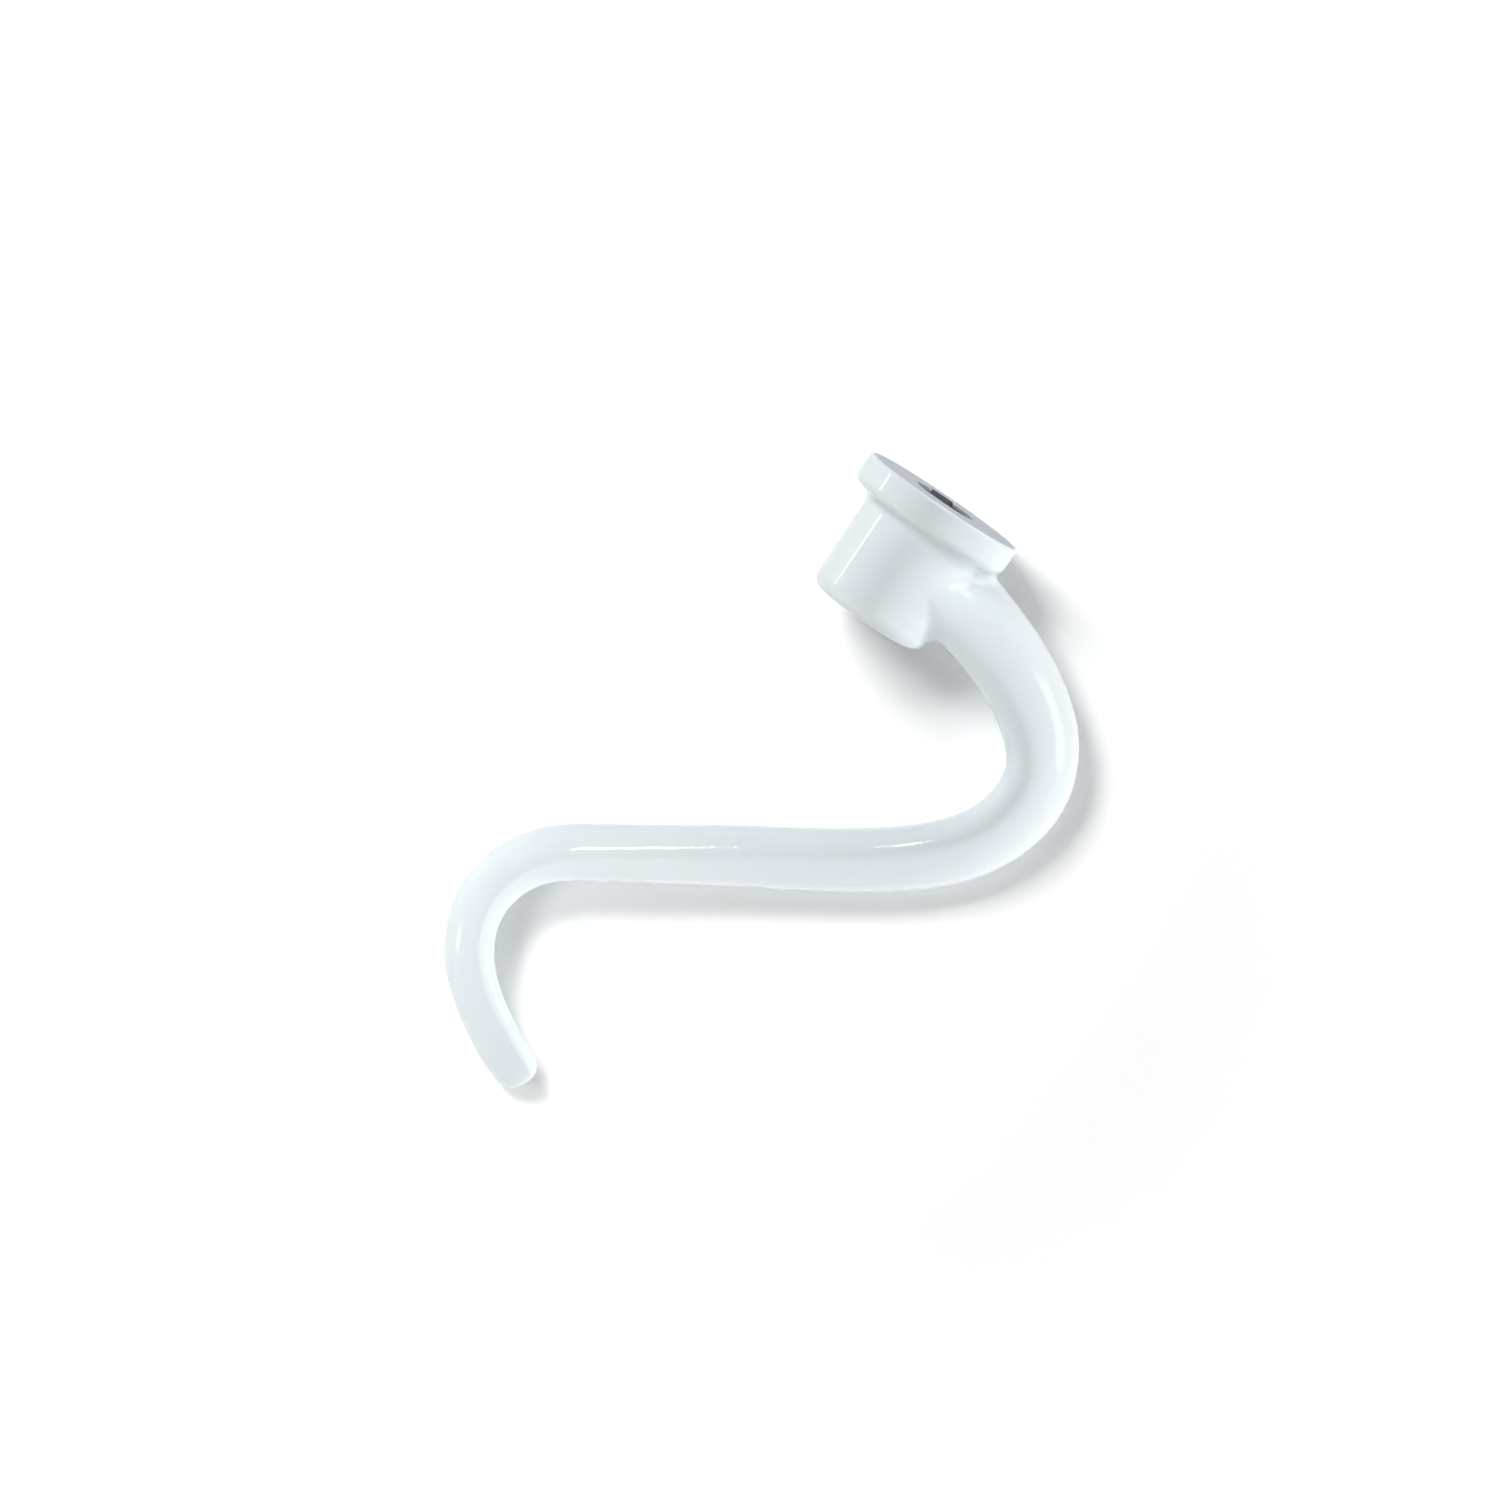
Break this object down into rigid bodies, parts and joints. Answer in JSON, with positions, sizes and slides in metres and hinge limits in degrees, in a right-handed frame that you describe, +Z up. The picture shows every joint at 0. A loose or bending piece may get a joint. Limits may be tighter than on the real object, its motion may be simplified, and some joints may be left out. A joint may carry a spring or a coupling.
{
  "type": "dough hook",
  "caption": "White coated cast dough hook for a stand mixer: a flanged round hub with a blind drive socket, and a tapering arm that bends back under the hub and ends in a curled tail.",
  "frame": {"origin": "middle of the bounding box's underside, on the floor that the hook lies on", "axes": "+Z up from the floor, +Y from the tail towards the hub's mouth, level with the floor, +X towards the arm's main bend"},
  "size_m": [0.0948, 0.1532, 0.0366],
  "materials": {
    "white_coating": "gloss"
  },
  "bodies": {
    "root": {"dough_hook": "white_coating"}
  },
  "joints": []
}
